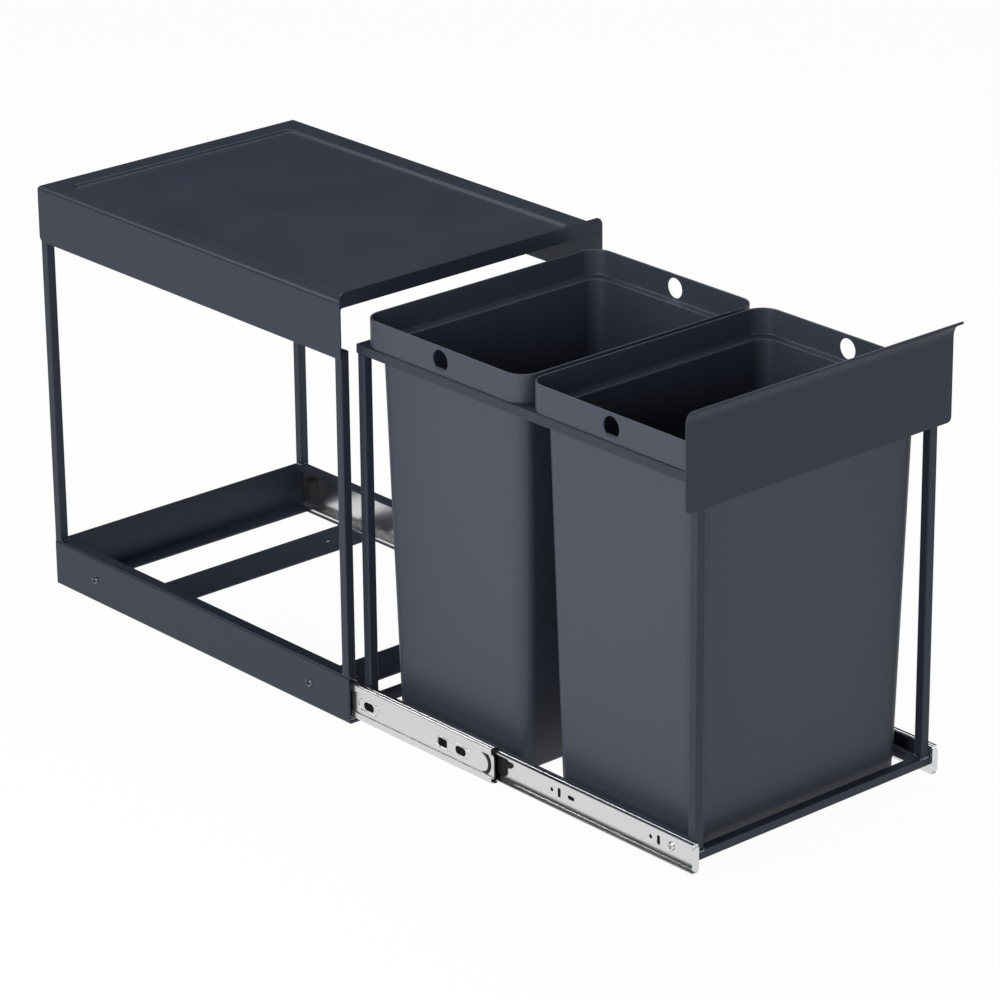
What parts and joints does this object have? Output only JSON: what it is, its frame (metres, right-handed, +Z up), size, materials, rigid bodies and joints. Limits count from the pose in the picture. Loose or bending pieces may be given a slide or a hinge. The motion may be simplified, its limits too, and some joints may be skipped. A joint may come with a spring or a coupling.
{
  "type": "built-in recycling bin",
  "caption": "Pull-out recycling bin unit: steel frame with sheet cover on the cabinet floor, and a drawer frame on telescopic slides carrying lift-out plastic bins behind a handle panel.",
  "frame": {"origin": "centre of the four floor screws on the underside of the floor bars", "axes": "+Z up, +Y to the back of the cabinet, +X to the right; the drawer opens along -Y"},
  "size_m": [0.3416, 0.9821, 0.4709],
  "materials": {
    "powder_coat": "anthracite powder coat, satin with a fine texture",
    "bin_plastic": "moulded dark grey plastic, fine matt grain",
    "zinc_steel": "bright zinc-plated rolled steel",
    "black_plastic": "black moulded plastic",
    "ball_steel": "polished steel",
    "rubber": "black rubber",
    "dark_screw": "blackened steel"
  },
  "bodies": {
    "frame": {"left_base_rail": "powder_coat", "right_base_rail": "powder_coat", "back_base_rail": "powder_coat", "front_floor_bar": "powder_coat", "rear_floor_bar": "powder_coat", "front_left_post": "powder_coat", "front_right_post": "powder_coat", "rear_left_post": "powder_coat", "rear_right_post": "powder_coat", "top_cover": "powder_coat", "rail_screws": "dark_screw", "left_slide_outer": "zinc_steel", "right_slide_outer": "zinc_steel", "left_slide_bumper": "rubber", "right_slide_bumper": "rubber"},
    "left_outer_cage": {"left_outer_ball_cage": "zinc_steel", "left_outer_balls": "ball_steel"},
    "right_outer_cage": {"right_outer_ball_cage": "zinc_steel", "right_outer_balls": "ball_steel"},
    "left_middle_member": {"left_slide_middle": "zinc_steel", "left_middle_catch": "black_plastic"},
    "right_middle_member": {"right_slide_middle": "zinc_steel", "right_middle_catch": "black_plastic"},
    "left_inner_cage": {"left_inner_ball_cage": "zinc_steel", "left_inner_balls": "ball_steel"},
    "right_inner_cage": {"right_inner_ball_cage": "zinc_steel", "right_inner_balls": "ball_steel"},
    "drawer": {"left_slide_inner": "zinc_steel", "right_slide_inner": "zinc_steel", "left_release_lever": "black_plastic", "right_release_lever": "black_plastic", "slide_screws": "zinc_steel", "drawer_front_left_post": "powder_coat", "drawer_front_right_post": "powder_coat", "drawer_rear_left_post": "powder_coat", "drawer_rear_right_post": "powder_coat", "ring_left_bar": "powder_coat", "ring_right_bar": "powder_coat", "ring_front_bar": "powder_coat", "ring_rear_bar": "powder_coat", "ring_middle_bar": "powder_coat", "bottom_left_bar": "powder_coat", "bottom_right_bar": "powder_coat", "bottom_front_bar": "powder_coat", "bottom_rear_bar": "powder_coat", "left_slide_strip": "powder_coat", "right_slide_strip": "powder_coat", "front_panel": "powder_coat"},
    "rear_bin_body": {"rear_bin": "bin_plastic"},
    "front_bin_body": {"front_bin": "bin_plastic"}
  },
  "joints": [
    {"name": "drawer_slide", "type": "slide", "parent": "frame", "child": "drawer", "axis": [0, -1, 0], "range_m": [-0.475, 0]},
    {"name": "left_middle_slide", "type": "slide", "parent": "frame", "child": "left_middle_member", "axis": [0, -1, 0], "range_m": [-0.21395, 0]},
    {"name": "left_outer_cage_slide", "type": "slide", "parent": "frame", "child": "left_outer_cage", "axis": [0, -1, 0], "range_m": [-0.10708, 0]},
    {"name": "left_inner_cage_slide", "type": "slide", "parent": "frame", "child": "left_inner_cage", "axis": [0, -1, 0], "range_m": [-0.34457, 0]},
    {"name": "right_middle_slide", "type": "slide", "parent": "frame", "child": "right_middle_member", "axis": [0, -1, 0], "range_m": [-0.21395, 0]},
    {"name": "right_outer_cage_slide", "type": "slide", "parent": "frame", "child": "right_outer_cage", "axis": [0, -1, 0], "range_m": [-0.10708, 0]},
    {"name": "right_inner_cage_slide", "type": "slide", "parent": "frame", "child": "right_inner_cage", "axis": [0, -1, 0], "range_m": [-0.34457, 0]},
    {"name": "rear_bin_lift", "type": "slide", "parent": "drawer", "child": "rear_bin_body", "axis": [0, 0, 1], "range_m": [0, 0.008]},
    {"name": "front_bin_lift", "type": "slide", "parent": "drawer", "child": "front_bin_body", "axis": [0, 0, 1], "range_m": [0, 0.008]}
  ],
  "couplings": [
    {"joint": "left_middle_slide", "follows": "drawer_slide", "ratio": 0.45},
    {"joint": "left_outer_cage_slide", "follows": "drawer_slide", "ratio": 0.225},
    {"joint": "left_inner_cage_slide", "follows": "drawer_slide", "ratio": 0.725},
    {"joint": "right_middle_slide", "follows": "drawer_slide", "ratio": 0.45},
    {"joint": "right_outer_cage_slide", "follows": "drawer_slide", "ratio": 0.225},
    {"joint": "right_inner_cage_slide", "follows": "drawer_slide", "ratio": 0.725}
  ]
}
